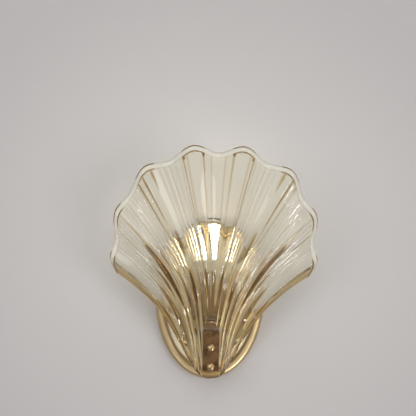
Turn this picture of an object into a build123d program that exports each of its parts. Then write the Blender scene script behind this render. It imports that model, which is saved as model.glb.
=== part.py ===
"""Wall sconce: a ribbed shell of thick glass, clamped to a brass oval backplate.

Millimetres. The origin is on the wall, at the centre of the backplate's rear
face. +Z is up and the front faces -Y, so a depth is how far a face stands off
the wall: a point at depth d has Y = -d.
"""
from build123d import *
import os
from math import cos, exp, hypot, pi, radians, sin, sqrt

os.makedirs("parts", exist_ok=True)

# ---------------------------------------------------------------- sizes
# Oval backplate, pressed from sheet with a rolled bead round a sunk panel
plate_half_width = 60.0
plate_half_height = 87.5
plate_sheet = 1.2
bead_width = 10.5
bead_depth = 13.0
bead_outer_radius = 5.5
bead_inner_radius = 3.5
panel_depth = 9.0

# Bar that the wall screws hold, with a lip at each end for the cover screws
bar_width = 14.0
bar_sheet = 1.5
bar_lip_gap = 1.0
bar_lip_reach = 9.0
bar_bend_radius = 2.0
wall_slot_spacing = 50.0
wall_slot_length = 9.0
wall_slot_width = 4.6
cable_hole_radius = 5.0
cable_hole_z = 11.0

# Stepped bracket: rear leg on the panel, shelf, front leg behind the glass
bracket_width = 17.0
bracket_sheet = 2.0
bracket_bend = 1.5
bracket_rear_height = 40.0
shelf_z = -18.0

# Glass shell: a fan of eight lobes on a narrow root with a rounded end
glass_thickness = 6.5
shell_bottom_z = -82.0
root_half_width = 24.0
root_bunching = 0.47
root_end_height = 20.0
root_end_power = 2.8
root_end_fade = 2.5
fan_centre_z = 45.0
rim_mean_radius = 114.8
rim_tall = 4.7
rim_square = 3.0
rim_edge_angle = 96.0
corner_angle = 88.0
corner_drop = 5.0
lobe_count = 8
lobe_angle = 26.0
lobe_top_reach = 4.6
lobe_side_reach = 2.2
lobe_root_depth = 0.5
lobe_rim_depth = 3.8
back_lobes_start = 0.3
back_lobes_blend = 0.5
rise_depth = 54.0
flare_depth = 6.0
flare_start = 0.8
fan_blend = 0.35
neck_side_fall = 16.0
rim_side_fall = 44.0
neck_roundness = 2.2
rim_roundness = 1.9
return_depth = 5.0
return_start = 0.84
root_spread_angle = 23.0
rim_spread_angle = 60.0
rib_start_pull = 1.3
rib_end_pull = 1.6

# Clamp strap, its pads and its two screws
strap_width = 17.0
strap_height = 43.0
strap_bottom_z = -73.5
strap_sheet = 2.0
pad_sheet = 1.0
seat_gap = 0.15
seat_margin = 1.2
seat_above_strap = 5.0
seat_blend = 0.12
seat_side_blend = 4.0
clamp_screw_radius = 2.5
clamp_hole_radius = 2.7
clamp_head_radius = 4.7
clamp_head_height = 2.9
lower_screw_z = -69.0
clamp_screw_spacing = 20.5
clamp_screw_length = 18.5
sleeve_outer_radius = 3.7
glass_hole_radius = 4.0
clamp_nut_flats = 8.0
clamp_nut_height = 4.0

# Screws that hold the bracket on the panel
plate_screw_radius = 2.0
plate_hole_radius = 2.15
plate_head_radius = 3.8
plate_head_height = 2.4
plate_screw_spacing = 13.0
plate_screw_top_z = 15.0
plate_screw_length = 7.6
plate_nut_flats = 7.0
plate_nut_height = 3.0

# Cover screws through the plate's rim, above and below
cover_screw_depth = 5.0
cover_screw_radius = 1.5
cover_hole_radius = 1.7
cover_head_radius = 2.3
cover_head_height = 1.6
cover_screw_length = 6.5

# Lamp cup on its threaded tube
lamp_depth = 28.5
nipple_radius = 4.0
nipple_bore_radius = 2.7
nipple_top_z = 6.0
nipple_bottom_z = -26.5
nipple_nut_flats = 12.0
nipple_nut_height = 3.5
nut_to_leg_gap = 0.92
washer_radius = 6.2
washer_sheet = 1.0
cup_radius = 13.0
cup_sheet = 0.8
cup_top_z = 32.0
cup_shoulder_height = 10.0
cup_foot_radius = 8.0
cup_lip_radius = 0.9
holder_plate_radius = 11.6
holder_plate_sheet = 2.5
holder_radius = 10.6
holder_height = 25.0
holder_cavity_radius = 5.2
holder_cavity_height = 8.0
holder_screw_radius = 1.5
holder_screw_offset = 7.6
holder_screw_length = 7.0
pin_spacing = 9.0
pin_width = 3.4
pin_wire = 0.9
pin_length = 9.5
spring_sheet = 0.4
spring_gap = 0.1
slot_room = 0.5

# Plug-in lamp
lamp_lift = 0.3
lamp_collar_radius = 8.2
lamp_collar_height = 13.0
lamp_flange_radius = 10.4
lamp_flange_height = 2.0
envelope_height = 45.0
envelope_sheet = 0.8
core_radius = 6.6
core_height = 38.0
chip_size = 2.6
chip_thickness = 0.6
chip_rows = 8
chip_columns = 8

# Wiring
lead_radius = 1.0
lead_spacing = 2.6
lead_bend = 9.0
lead_drop_bend = 4.6
block_width = 18.0
block_height = 14.0
block_thickness = 5.4
block_below_grommet = 26.0
block_pole_spacing = 10.0
block_lead_rise = 8.0
terminal_screw_radius = 1.3
block_screw_radius = 1.4
grommet_below_shelf = 14.0
grommet_hole_radius = 4.5
grommet_lip = 1.4
grommet_bore_radius = 2.7
earth_screw_z = 42.0
earth_screw_radius = 2.0
lug_sheet = 0.8
lug_radius = 4.0
earth_lead_bend = 4.5
earth_lead_bow = 17.0

thread_clearance = 0.05

# ---------------------------------------------------------------- worked out
upright = Plane.XZ
half_lobe = lobe_angle / 2
strap_top_z = strap_bottom_z + strap_height
upper_screw_z = lower_screw_z + clamp_screw_spacing
clamp_screw_heights = (lower_screw_z, upper_screw_z)
front_leg_depth = lamp_depth + nipple_nut_flats / sqrt(3) + nut_to_leg_gap
rear_pad_depth = front_leg_depth + bracket_sheet
neck_back_depth = rear_pad_depth + pad_sheet + seat_gap
neck_depth = neck_back_depth + glass_thickness
front_pad_depth = neck_depth + seat_gap
strap_back_depth = front_pad_depth + pad_sheet
strap_front_depth = strap_back_depth + strap_sheet
plate_screw_heights = (plate_screw_top_z - plate_screw_spacing, plate_screw_top_z)
panel_back_depth = panel_depth - plate_sheet
rear_leg_front = panel_depth + bracket_sheet
shelf_bottom_z = shelf_z - bracket_sheet
grommet_z = shelf_bottom_z - grommet_below_shelf
block_centre_z = grommet_z - block_below_grommet
cup_bottom_z = shelf_z + washer_sheet
holder_plate_z = nipple_top_z - holder_plate_sheet
holder_top_z = nipple_top_z + holder_height
lamp_bottom_z = holder_top_z + lamp_lift
flange_bottom_z = lamp_bottom_z + lamp_collar_height
envelope_bottom_z = flange_bottom_z + lamp_flange_height


# ---------------------------------------------------------------- helpers
def slab(sketch, near, far):
    """Raises an X-Z sketch into a solid between two depths off the wall."""
    return extrude(upright.offset(near) * sketch, amount=far - near)


def peg(radius, near, far, x, z):
    """Round bar that points at the viewer."""
    return slab(Pos(x, z) * Circle(radius), near, far)


def post(radius, low, high, x, depth):
    """Round bar that stands upright."""
    return extrude(Plane.XY.offset(low) * Pos(x, -depth) * Circle(radius), amount=high - low)


def hexagon(flats):
    """Sketch of a nut, with two of its corners on the X axis."""
    return RegularPolygon(radius=flats / 2, side_count=6, major_radius=False)


def turned(*points):
    """Solid of revolution about the lamp's axis, from (radius, z) points."""
    profile = make_face(Polyline(*points, close=True))
    return Pos(0, -lamp_depth, 0) * revolve(upright * profile, axis=Axis.Z)


def domed_screw(radius, length, head_radius, head_height, slot_angle=0.0):
    """Screw along +Z with its head above the origin and a slot across it."""
    ball_radius = (head_radius**2 + head_height**2) / (2 * head_height)
    ball = Pos(0, 0, head_height - ball_radius) * Sphere(ball_radius)
    top = extrude(Circle(head_radius), amount=head_height)
    slot_width = head_radius * 0.28
    slot_depth = head_height * 0.5
    slot_box = Box(slot_width, 3 * head_radius, slot_depth)
    slot = Rot(0, 0, slot_angle) * Pos(0, 0, head_height - slot_depth / 2) * slot_box
    shank = extrude(Circle(radius), amount=-length)
    return (top & ball) - slot + shank


def towards_viewer(solid, x, depth, z):
    """Turns a solid made along +Z to point at the viewer, and places it."""
    return Plane(origin=(x, -depth, z), x_dir=(1, 0, 0), z_dir=(0, -1, 0)) * solid


def tube_along(points, bends, radius):
    """Round lead along straight runs and tangent arcs."""
    path = FilletPolyline(*points, radius=bends)
    start = Plane(origin=path @ 0, z_dir=path % 0)
    lead = sweep(start * Circle(radius), path=path)
    print("lead", round(path.length, 1), "volume share", round(lead.volume / (pi * radius**2 * path.length), 4))
    return lead


def save(name, shape):
    """Writes one node."""
    solids = shape.solids()
    export_step(solids[0] if len(solids) == 1 else Compound(children=list(solids)), f"parts/{name}.step")


# ---------------------------------------------------------------- glass shell
def ease(t):
    """Smooth step from 0 to 1."""
    t = min(1.0, max(0.0, t))
    return t * t * (3 - 2 * t)


def lobe_wave(angle):
    """-1 in the valleys between the lobes and +1 on their crests."""
    return -cos(pi * angle / half_lobe)


def lobe_reach(angle):
    """How far a lobe's crest stands out from the rim's middle line."""
    return lobe_top_reach + (lobe_side_reach - lobe_top_reach) * abs(angle) / rim_edge_angle


def crown_radius(angle):
    """Distance from the fan's centre to the line through the lobes' crests."""
    mean = rim_mean_radius + rim_tall * cos(radians(2 * angle)) - rim_square * cos(radians(4 * angle))
    return mean + lobe_reach(angle)


shell_top_z = fan_centre_z + crown_radius(0)
seat_half_width = strap_width / 2 + seat_margin
seat_share = (strap_top_z + seat_above_strap - shell_bottom_z) / (shell_top_z - shell_bottom_z)


def rib_ends(across):
    """Root and tip of a rib, as (x, z), for a share of the fan's width."""
    angle = rim_edge_angle * across
    root = (root_half_width * (root_bunching * across + (1 - root_bunching) * across * abs(across)), shell_bottom_z)
    radius = crown_radius(angle)
    return root, (radius * sin(radians(angle)), fan_centre_z + radius * cos(radians(angle)))


def rib_length(across):
    """Straight distance from a rib's root to its tip."""
    root, tip = rib_ends(across)
    return hypot(tip[0] - root[0], tip[1] - root[1])


def rib_path(across, along):
    """X and Z of a rib at a share of its length, for a share of the fan's width."""
    root, tip = rib_ends(across)
    length = rib_length(across)
    root_lean = radians(root_spread_angle * (0.4 * across + 0.6 * across**3))
    tip_lean = radians(rim_spread_angle * sin(radians(0.72 * rim_edge_angle * across)))
    to_tip = along * along * (3 - 2 * along)
    start_pull = rib_start_pull * length * along * (1 - along) ** 2
    end_pull = -rib_end_pull * length * along * along * (1 - along)
    x = (1 - to_tip) * root[0] + to_tip * tip[0] + start_pull * sin(root_lean) + end_pull * sin(tip_lean)
    z = (1 - to_tip) * root[1] + to_tip * tip[1] + start_pull * cos(root_lean) + end_pull * cos(tip_lean)
    end_lift = root_end_height * abs(root[0] / root_half_width) ** root_end_power
    return x, z + end_lift * exp(-root_end_fade * along) * (1 - along) ** 2


def rib_travel(along):
    """Share of a rib's whole reach that is covered at a parameter along it."""
    return (
        along * along * (3 - 2 * along)
        + rib_start_pull * along * (1 - along) ** 2
        - rib_end_pull * along * along * (1 - along)
    )


def rib_trimmed(across, along):
    """Parameter along a rib, cut back between the lobes and at the rim's two corners."""
    angle = rim_edge_angle * across
    corner = max(0.0, (abs(angle) - corner_angle) / (rim_edge_angle - corner_angle))
    cut = lobe_reach(angle) * (1 - lobe_wave(angle)) + corner_drop * corner**2
    return along - cut / (rib_end_pull * rib_length(across)) * along**5


def rise_share(travel):
    """How far the glass has come forward, for a share of the rib's travel."""
    t = max(0.0, (travel - seat_share) / (1 - seat_share))
    soft = 0.05
    t = (sqrt(t * t + soft * soft) - soft) / (sqrt(1 + soft * soft) - soft)
    return 0.62 * (1 - exp(-4.2 * t)) / (1 - exp(-4.2)) + 0.38 * t


def dish_point(across, along):
    """Point of the smooth dish that the lobes are raised on."""
    x, z = rib_path(across, along)
    travel = rib_travel(along)
    forward = rise_share(travel)
    half_width = rib_path(1, along)[0]
    neck_share = max(0.0, abs(x) - seat_half_width) / (half_width - seat_half_width)
    in_fan = ease((travel - seat_share) / fan_blend)
    outside = neck_share + (abs(across) - neck_share) * in_fan
    roundness = neck_roundness + (rim_roundness - neck_roundness) * in_fan
    depth = neck_depth + rise_depth * forward + flare_depth * max(0.0, (travel - flare_start) / (1 - flare_start)) ** 2
    depth -= (neck_side_fall + (rim_side_fall - neck_side_fall) * forward) * outside**roundness
    turned_back = max(0.0, (abs(across) - return_start) / (1 - return_start))
    depth -= return_depth * (half_width / rib_path(1, 1)[0]) ** 2 * turned_back**2
    return Vector(x, -depth, z)


def lobe_swell(across, along):
    """How far the lobes raise the front at a point, none under the strap."""
    travel = rib_travel(along)
    past_seat = max(0.0, abs(rib_path(across, along)[0]) - seat_half_width)
    on_seat = (1 - ease((travel - seat_share) / seat_blend)) * (1 - ease(past_seat / seat_side_blend))
    lobe_depth = lobe_root_depth + (lobe_rim_depth - lobe_root_depth) * travel**1.3
    return lobe_depth * lobe_wave(rim_edge_angle * across) * (1 - on_seat)


def glass_point(across, along, inwards):
    """Point at a thickness behind the shell's front face."""
    along = rib_trimmed(across, along)
    step = 0.001
    over = dish_point(min(1, across + step), along) - dish_point(max(-1, across - step), along)
    up = dish_point(across, min(1, along + step)) - dish_point(across, max(0, along - step))
    point = dish_point(across, along) - over.cross(up).normalized() * inwards
    lobes_on_back = ease((rib_travel(along) - back_lobes_start) / back_lobes_blend)
    share = 1 - inwards / glass_thickness * (1 - lobes_on_back)
    return point - Vector(0, lobe_swell(across, along) * share, 0)


def glass_shell():
    """Shell solid: strips between level curves, front and back, closed all round."""
    points_across = 8 * lobe_count + 1
    shares = [-1 + 2 * i / (points_across - 1) for i in range(points_across)]
    seat_end = next(k / 1000 for k in range(1001) if rib_travel(k / 1000) > seat_share)
    levels = [seat_end * k / 3 for k in range(3)]
    levels += [seat_end + (1 - seat_end) * k / 14 for k in range(15)]

    def level_curve(along, inwards):
        return Edge.make_spline([glass_point(u, along, inwards) for u in shares])

    fronts = [level_curve(along, 0) for along in levels]
    backs = [level_curve(along, glass_thickness) for along in levels]
    faces = []
    for curves in (fronts, backs):
        for low, high in zip(curves, curves[1:]):
            faces.append(Face.make_surface_from_curves(low, high))
    for end in (0, -1):
        faces.append(Face.make_surface_from_curves(fronts[end], backs[end]))
    for side in (0, 1):
        for k in range(len(levels) - 1):
            front_edge = Edge.make_line(fronts[k] @ side, fronts[k + 1] @ side)
            back_edge = Edge.make_line(backs[k] @ side, backs[k + 1] @ side)
            faces.append(Face.make_surface_from_curves(front_edge, back_edge))
    shell = Solid(Shell(faces))
    for z in clamp_screw_heights:
        shell -= peg(glass_hole_radius, neck_back_depth - glass_thickness, neck_depth + glass_thickness, 0, z)
    return shell


save("glass_shell", glass_shell())


# ---------------------------------------------------------------- clamp
def strap_sketch(margin=0.0):
    """Outline of the strap, and of the pads under it."""
    middle = strap_bottom_z + strap_height / 2
    return Pos(0, middle) * RectangleRounded(strap_width + 2 * margin, strap_height + 2 * margin, 0.8)


def drilled(solid, radius):
    """Solid with the clamp's two screw holes through it."""
    for z in clamp_screw_heights:
        solid -= peg(radius, 0, 2 * neck_depth, 0, z)
    return solid


strap = drilled(slab(strap_sketch(), strap_back_depth, strap_front_depth), clamp_hole_radius)
strap = chamfer(strap.faces().filter_by(Axis.Y).sort_by(Axis.Y)[0].outer_wire().edges(), 0.35)
save("clamp_strap", strap)
save("front_pad", drilled(slab(strap_sketch(), front_pad_depth, strap_back_depth), clamp_hole_radius))
rear_pad = slab(strap_sketch(), rear_pad_depth, rear_pad_depth + pad_sheet)
save("rear_pad", drilled(rear_pad, clamp_hole_radius))

sleeves = Part()
clamp_screws = Part()
clamp_nuts = Part()
for z, slot_angle in zip(clamp_screw_heights, (-22, -20)):
    sleeve_near = rear_pad_depth + pad_sheet
    sleeves += peg(sleeve_outer_radius, sleeve_near, front_pad_depth, 0, z) - peg(
        clamp_hole_radius, sleeve_near, front_pad_depth, 0, z
    )
    screw = domed_screw(clamp_screw_radius, clamp_screw_length, clamp_head_radius, clamp_head_height, slot_angle)
    clamp_screws += towards_viewer(screw, 0, strap_front_depth, z)
    nut = slab(Pos(0, z) * hexagon(clamp_nut_flats), front_leg_depth - clamp_nut_height, front_leg_depth)
    clamp_nuts += nut - peg(clamp_screw_radius + thread_clearance, 0, neck_depth, 0, z)
save("glass_sleeves", sleeves)
save("clamp_screws", clamp_screws)
save("clamp_nuts", clamp_nuts)


# ---------------------------------------------------------------- bracket
def stepped_bracket():
    """Rear leg up the panel, shelf forward, front leg down behind the glass."""
    low_z = strap_bottom_z
    front = front_leg_depth + bracket_sheet
    outline = [
        (panel_depth, shelf_z + bracket_rear_height),
        (rear_leg_front, shelf_z + bracket_rear_height),
        (rear_leg_front, shelf_z),
        (front, shelf_z),
        (front, low_z),
        (front_leg_depth, low_z),
        (front_leg_depth, shelf_bottom_z),
        (panel_depth, shelf_bottom_z),
    ]
    inner_bends = (outline[2], outline[6])
    outer_bends = (outline[3], outline[7])
    face = make_face(Polyline(*[(-depth, z) for depth, z in outline], close=True))

    for bends, radius in ((inner_bends, bracket_bend), (outer_bends, bracket_bend + bracket_sheet)):
        corners = [v for v in face.vertices() if any(hypot(v.X + d, v.Y - z) < 0.01 for d, z in bends)]
        face = fillet(corners, radius)
    solid = extrude(Plane.YZ * face, amount=bracket_width / 2, both=True)
    solid = drilled(solid, clamp_hole_radius)
    for z in plate_screw_heights:
        solid -= peg(plate_hole_radius, 0, front_leg_depth, 0, z)
    solid -= post(nipple_radius + thread_clearance, shelf_bottom_z - 1, shelf_z + 1, 0, lamp_depth)
    return solid


save("support_bracket", stepped_bracket())

plate_screws = Part()
plate_nuts = Part()
for z, slot_angle in zip(plate_screw_heights, (35, -10)):
    screw = domed_screw(plate_screw_radius, plate_screw_length, plate_head_radius, plate_head_height, slot_angle)
    plate_screws += towards_viewer(screw, 0, rear_leg_front, z)
    nut_front = panel_back_depth - (lug_sheet if z == plate_screw_top_z else 0)
    nut = slab(Pos(0, z) * hexagon(plate_nut_flats), nut_front - plate_nut_height, nut_front)
    plate_nuts += nut - peg(plate_screw_radius + thread_clearance, 0, panel_depth, 0, z)
save("bracket_screws", plate_screws)
save("bracket_nuts", plate_nuts)


# ---------------------------------------------------------------- backplate
def oval(inset):
    """Ellipse of the plate, drawn in by an inset."""
    return Ellipse(plate_half_width - inset, plate_half_height - inset)


def oval_cap(inset, height, edge_radius):
    """Oval block on the wall with its front edge rounded."""
    block = slab(oval(inset), 0, height)
    front_edge = block.faces().sort_by(Axis.Y)[0].outer_wire().edges()
    return fillet(front_edge, edge_radius)


def backplate():
    """Pressed oval pan: rolled bead outside, sunk flat panel inside."""
    body = oval_cap(0, bead_depth, bead_outer_radius)
    body -= slab(oval(bead_width), panel_depth, bead_depth + 1)
    crest = body.faces().filter_by(Axis.Y).sort_by(Axis.Y)[0].inner_wires()[0].edges()
    body = fillet(crest, bead_inner_radius)
    hollow = oval_cap(plate_sheet, bead_depth - plate_sheet, bead_outer_radius - plate_sheet)
    hollow -= slab(oval(bead_width - plate_sheet), panel_back_depth, bead_depth)
    body -= hollow
    for z in plate_screw_heights:
        body -= peg(plate_hole_radius, 0, bead_depth, 0, z)
    body -= peg(grommet_hole_radius, 0, bead_depth, 0, grommet_z)
    for side in (-1, 1):
        reach = plate_half_height + 1
        low, high = sorted((side * (plate_half_height - 3 * plate_sheet), side * reach))
        body -= post(cover_hole_radius, low, high, 0, cover_screw_depth)
    return body


save("backplate", backplate())


# ---------------------------------------------------------------- wall bar
def wall_bar():
    """Strip against the wall with a lip turned forward at each end."""
    lip_face = plate_half_height - plate_sheet - bar_lip_gap
    inner = lip_face - bar_sheet
    outline = [
        (0, -lip_face), (bar_lip_reach, -lip_face), (bar_lip_reach, -inner), (bar_sheet, -inner),
        (bar_sheet, inner), (bar_lip_reach, inner), (bar_lip_reach, lip_face), (0, lip_face),
    ]
    face = make_face(Polyline(*[(-depth, z) for depth, z in outline], close=True))
    inner_corners = [v for v in face.vertices() if abs(v.X + bar_sheet) < 0.01]
    face = fillet(inner_corners, bar_bend_radius)
    outer_corners = [v for v in face.vertices() if abs(v.X) < 0.01]
    face = fillet(outer_corners, bar_bend_radius + bar_sheet)
    solid = extrude(Plane.YZ * face, amount=bar_width / 2, both=True)
    for side in (-1, 1):
        slot = Rot(0, 0, 90) * SlotOverall(wall_slot_length, wall_slot_width)
        solid -= slab(Pos(0, side * wall_slot_spacing / 2) * slot, -1, bar_sheet + 1)
        low, high = sorted((side * (inner - 1), side * (lip_face + 1)))
        solid -= post(cover_screw_radius + thread_clearance, low, high, 0, cover_screw_depth)
    solid -= peg(cable_hole_radius, -1, bar_sheet + 1, 0, cable_hole_z)
    solid -= peg(earth_screw_radius + thread_clearance, -1, bar_sheet + 1, 0, earth_screw_z)
    solid -= peg(block_screw_radius + thread_clearance, -1, bar_sheet + 1, 0, block_centre_z)
    return solid


save("wall_bar", wall_bar())

cover_screws = Part()
for side in (-1, 1):
    screw = domed_screw(cover_screw_radius, cover_screw_length, cover_head_radius, cover_head_height, 30)
    seat = Plane(origin=(0, -cover_screw_depth, side * plate_half_height), x_dir=(1, 0, 0), z_dir=(0, 0, side))
    cover_screws += seat * screw
save("cover_screws", cover_screws)


# ---------------------------------------------------------------- lamp cup and holder
nipple = post(nipple_radius, nipple_bottom_z, nipple_top_z, 0, lamp_depth)
nipple -= post(nipple_bore_radius, nipple_bottom_z, nipple_top_z, 0, lamp_depth)
save("threaded_tube", nipple)


def ring(outline, low, high):
    """Upright washer or nut round the threaded tube."""
    block = extrude(Plane.XY.offset(low) * Pos(0, -lamp_depth) * outline, amount=high - low)
    return block - post(nipple_radius + thread_clearance, low, high, 0, lamp_depth)


lower_washer_z = shelf_bottom_z - washer_sheet
tube_washers = ring(Circle(washer_radius), lower_washer_z, shelf_bottom_z)
tube_washers += ring(Circle(washer_radius), shelf_z, cup_bottom_z)
save("tube_washers", tube_washers)
inner_nut_z = cup_bottom_z + cup_sheet
tube_nuts = ring(hexagon(nipple_nut_flats), lower_washer_z - nipple_nut_height, lower_washer_z)
tube_nuts += ring(hexagon(nipple_nut_flats), inner_nut_z, inner_nut_z + nipple_nut_height)
save("tube_nuts", tube_nuts)


def cup_outline(inset, top):
    """Half section of the cup: a bowl foot that runs into a straight wall."""
    wall = cup_radius - inset
    foot = cup_foot_radius - inset / 2
    low = cup_bottom_z + inset
    shoulder = cup_bottom_z + cup_shoulder_height
    bulge = (foot + 0.82 * (wall - foot), low + 0.36 * (shoulder - low))
    section = Polyline((0, top), (0, low), (foot, low))
    section += ThreePointArc((foot, low), bulge, (wall, shoulder))
    section += Polyline((wall, shoulder), (wall, top), (0, top))
    return make_face(section)


def lamp_cup():
    """Spun cup, open at the top, with a rolled lip."""
    outside = revolve(upright * cup_outline(0, cup_top_z), axis=Axis.Z)
    inside = revolve(upright * cup_outline(cup_sheet, cup_top_z + 1), axis=Axis.Z)
    lip_ring = Pos(0, 0, cup_top_z) * Torus(cup_radius - cup_sheet / 2, cup_lip_radius)
    cup = Pos(0, -lamp_depth, 0) * (outside - inside + lip_ring)
    return cup - post(nipple_radius + thread_clearance, cup_bottom_z - 1, inner_nut_z + 1, 0, lamp_depth)


save("lamp_cup", lamp_cup())

holder_plate = post(holder_plate_radius, holder_plate_z, nipple_top_z, 0, lamp_depth)
holder_plate -= post(nipple_radius + thread_clearance, holder_plate_z, nipple_top_z, 0, lamp_depth)
holder_screws = Part()
for side in (-1, 1):
    x = side * holder_screw_offset
    holder_plate -= post(holder_screw_radius + thread_clearance, holder_plate_z, nipple_top_z, x, lamp_depth)
    screw = domed_screw(holder_screw_radius, holder_screw_length, holder_screw_radius * 1.8, 1.6, 90 * side)
    seat = Plane(origin=(x, -lamp_depth, holder_plate_z), x_dir=(1, 0, 0), z_dir=(0, 0, -1))
    holder_screws += seat * screw
save("holder_plate", holder_plate)
save("holder_screws", holder_screws)


def pin_box(width, thickness, low, high, side):
    """Upright flat block on one of the lamp's two pin positions."""
    block = Box(width, thickness, high - low, align=(Align.CENTER, Align.CENTER, Align.MIN))
    return Pos(side * pin_spacing / 2, -lamp_depth, low) * block


pin_bottom_z = lamp_bottom_z - pin_length
slot_floor_z = pin_bottom_z - 1.5
slot_thickness = pin_wire + 2 * (spring_gap + spring_sheet) + 2 * spring_gap
cavity_top_z = nipple_top_z + holder_cavity_height


def lampholder():
    """Ceramic body with a pin slot on each side and a wiring cavity below."""
    body = post(holder_radius, nipple_top_z, holder_top_z, 0, lamp_depth)
    top_edge = body.faces().sort_by(Axis.Z)[-1].edges()
    body = chamfer(top_edge, 0.8)
    body -= post(holder_cavity_radius, nipple_top_z, cavity_top_z, 0, lamp_depth)
    for side in (-1, 1):
        body -= pin_box(pin_width + 2 * slot_room, slot_thickness, cavity_top_z - 1, holder_top_z + 1, side)
        body -= post(holder_screw_radius + thread_clearance, nipple_top_z,
                     holder_plate_z + holder_screw_length + 0.5, side * holder_screw_offset, lamp_depth)
    return body


save("lampholder", lampholder())

contact_springs = Part()
lamp_pins = Part()
for side in (-1, 1):
    clip = pin_box(pin_width, pin_wire + 2 * (spring_gap + spring_sheet), cavity_top_z - 0.6, holder_top_z - 2, side)
    gap = pin_box(pin_width + 1, pin_wire + 2 * spring_gap, cavity_top_z - 0.6 + spring_sheet, holder_top_z, side)
    contact_springs += clip - gap
    flat = upright.offset(lamp_depth - pin_wire / 2) * (
        Pos(side * pin_spacing / 2, pin_bottom_z + pin_length / 2) * SlotOverall(pin_length, pin_width, rotation=90)
        - Pos(side * pin_spacing / 2, pin_bottom_z + pin_length / 2)
        * SlotOverall(pin_length - 2 * pin_wire, pin_width - 2 * pin_wire, rotation=90)
    )
    lamp_pins += extrude(flat, amount=pin_wire)
save("contact_springs", contact_springs)

# ---------------------------------------------------------------- plug-in lamp
save("lamp_pins", lamp_pins)
lamp_base = turned(
    (0, lamp_bottom_z), (lamp_collar_radius - 0.8, lamp_bottom_z), (lamp_collar_radius, lamp_bottom_z + 0.8),
    (lamp_collar_radius, flange_bottom_z - 1.2), (lamp_flange_radius, flange_bottom_z),
    (lamp_flange_radius, envelope_bottom_z), (0, envelope_bottom_z),
)
save("lamp_base", lamp_base)


def envelope_block(inset):
    """Tube with a domed top, drawn in by an inset."""
    radius = lamp_flange_radius - inset
    dome = lamp_flange_radius * 0.62 - inset
    top = envelope_bottom_z + envelope_height - inset
    block = post(radius, envelope_bottom_z, top, 0, lamp_depth)
    return fillet(block.faces().sort_by(Axis.Z)[-1].edges(), dome)


save("lamp_envelope", envelope_block(0) - envelope_block(envelope_sheet))

core_top_z = envelope_bottom_z + core_height
core_face = Rot(0, 0, 180 / chip_columns) * RegularPolygon(core_radius, chip_columns, major_radius=False)
core = extrude(Plane.XY.offset(envelope_bottom_z) * Pos(0, -lamp_depth) * core_face, amount=core_height)
save("light_core", core)

chips = Part()
row_pitch = core_height / chip_rows
chip_block = Pos(0, -core_radius - chip_thickness / 2, 0) * Box(chip_size, chip_thickness, chip_size)
for row in range(chip_rows):
    for column in range(chip_columns):
        z = envelope_bottom_z + (row + 0.5) * row_pitch
        chips += Pos(0, -lamp_depth, z) * Rot(0, 0, column * 360 / chip_columns) * chip_block
for x in (-1, 1):
    for y in (-1, 1):
        top_chip = Box(chip_size, chip_size, chip_thickness, align=(Align.CENTER, Align.CENTER, Align.MIN))
        chips += Pos(0.75 * x * chip_size, -lamp_depth + 0.75 * y * chip_size, core_top_z) * top_chip
save("light_chips", chips)

# ---------------------------------------------------------------- wiring
block_back = bar_sheet
block_front = block_back + block_thickness
block_lead_depth = block_back + block_thickness / 2
block_top_z = block_centre_z + block_height / 2
terminal_block = slab(Pos(0, block_centre_z) * RectangleRounded(block_width, block_height, 1.5), block_back, block_front)
terminal_block -= peg(block_screw_radius + thread_clearance, 0, block_front, 0, block_centre_z)
terminal_screws = Part()
for side in (-1, 1):
    pole_x = side * block_pole_spacing / 2
    terminal_block -= post(lead_radius + thread_clearance, block_centre_z, block_top_z + 1, pole_x, block_lead_depth)
    for height in (-1, 1):
        z = block_centre_z + height * block_height / 4
        terminal_block -= peg(terminal_screw_radius + thread_clearance, block_lead_depth + lead_radius + 0.3,
                              block_front, pole_x, z)
        pin = peg(terminal_screw_radius, block_lead_depth + lead_radius + 0.3, block_front - 0.3, pole_x, z)
        slot = Pos(pole_x, -block_front, z) * Box(2 * terminal_screw_radius, 1.4, 0.5)
        terminal_screws += pin - slot
save("terminal_block", terminal_block)
save("terminal_screws", terminal_screws)
block_screw = domed_screw(block_screw_radius, block_front - 0.2, block_screw_radius * 1.5, 0.5, 0)
save("terminal_block_screw", towards_viewer(block_screw, 0, block_front, block_centre_z))

lead_end_z = nipple_top_z + 1.6
for name, side in (("live_lead", -1), ("neutral_lead", 1)):
    pole_x = side * block_pole_spacing / 2
    inner_x = side * lead_spacing / 2
    lead_points = [
        (pole_x, -block_lead_depth, block_centre_z + 0.5),
        (pole_x, -block_lead_depth, block_top_z + block_lead_rise),
        (inner_x, -block_lead_depth, grommet_z),
        (inner_x, -lamp_depth, grommet_z),
        (inner_x, -lamp_depth, lead_end_z),
    ]
    save(name, tube_along(lead_points, [lead_drop_bend, lead_drop_bend, lead_bend], lead_radius))

grommet_sketch = Pos(0, grommet_z) * Circle(grommet_hole_radius + grommet_lip)
grommet = slab(grommet_sketch, panel_back_depth - grommet_lip, panel_depth + grommet_lip)
waist = slab(grommet_sketch, panel_back_depth, panel_depth) - peg(
    grommet_hole_radius, panel_back_depth, panel_depth, 0, grommet_z
)
grommet -= waist
grommet -= peg(grommet_bore_radius, 0, bead_depth, 0, grommet_z)
save("cable_grommet", grommet)

lug_bore = earth_screw_radius + thread_clearance
lug_hole_depths = (bar_sheet, panel_back_depth - lug_sheet)
lug_heights = (earth_screw_z, plate_screw_top_z)
earth_lugs = Part()
for near, z in zip(lug_hole_depths, lug_heights):
    tongue = Pos(lug_radius, z) * Rectangle(lug_radius, 2 * lead_radius)
    lug = slab(Pos(0, z) * Circle(lug_radius) + tongue, near, near + lug_sheet)
    earth_lugs += lug - peg(lug_bore, 0, panel_depth, 0, z)
save("earth_lugs", earth_lugs)
earth_screw = domed_screw(earth_screw_radius, lug_sheet + bar_sheet, earth_screw_radius * 1.9, 2.0, 60)
save("earth_screw", towards_viewer(earth_screw, 0, bar_sheet + lug_sheet, earth_screw_z))

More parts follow.
